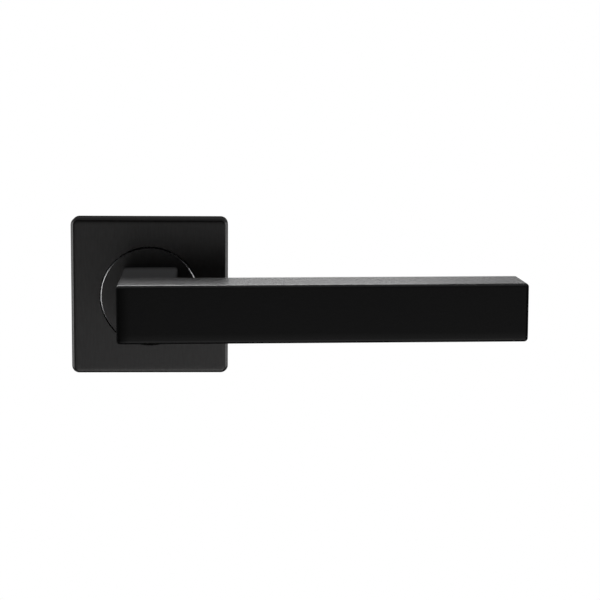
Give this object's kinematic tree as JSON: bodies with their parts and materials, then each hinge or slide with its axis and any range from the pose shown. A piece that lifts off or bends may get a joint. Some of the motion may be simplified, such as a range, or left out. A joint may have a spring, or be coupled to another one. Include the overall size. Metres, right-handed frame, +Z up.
{
  "type": "door lever handle",
  "caption": "Black door lever handle: square L-shaped bar on a round collar in a square clip-on rose, with sprung base plate, spindle and fixings.",
  "frame": {"origin": "on the spindle axis, in the plane of the door's surface that the base plate rests on", "axes": "+X along the lever towards its free end, +Y into the door along the spindle, +Z up"},
  "size_m": [0.1534, 0.116, 0.055],
  "materials": {
    "satin_black": "fine satin black powder coat",
    "bevelled_black": "satin black with a diamond-cut bevel",
    "cast_zinc": "die-cast zinc alloy, as cast",
    "plated_steel": "zinc plated",
    "spring_steel": "bright spring steel",
    "dark_steel": "black oxide",
    "nylon": "natural nylon"
  },
  "bodies": {
    "root": {"base_plate": "cast_zinc", "bearing_bush": "nylon", "return_spring": "spring_steel", "stop_pin_rest": "plated_steel", "stop_pin_open": "plated_steel", "thrust_washer": "plated_steel", "wave_washer": "spring_steel", "fixing_bolt_left": "plated_steel", "fixing_bolt_right": "plated_steel", "wood_screw_upper": "plated_steel", "wood_screw_lower": "plated_steel", "cover_clip_upper": "spring_steel", "cover_clip_lower": "spring_steel", "cover_clip_left": "spring_steel", "cover_clip_right": "spring_steel"},
    "lever": {"lever": "satin_black", "neck_collar": "bevelled_black", "spring_cam": "plated_steel", "circlip": "dark_steel", "spindle": "plated_steel", "grub_screw": "dark_steel"},
    "cover": {"rose_cover": "satin_black"}
  },
  "joints": [
    {"name": "lever_turn", "type": "hinge", "parent": "root", "child": "lever", "pos_m": [0, 0, 0], "axis": [0, 1, 0], "range_deg": [0, 45], "stiffness_Nm_per_rad": 0.55, "springref_deg": -57.3, "deforming": ["return_spring"]},
    {"name": "cover_slide", "type": "slide", "parent": "root", "child": "cover", "axis": [0, -1, 0], "range_m": [0, 0.02]}
  ]
}
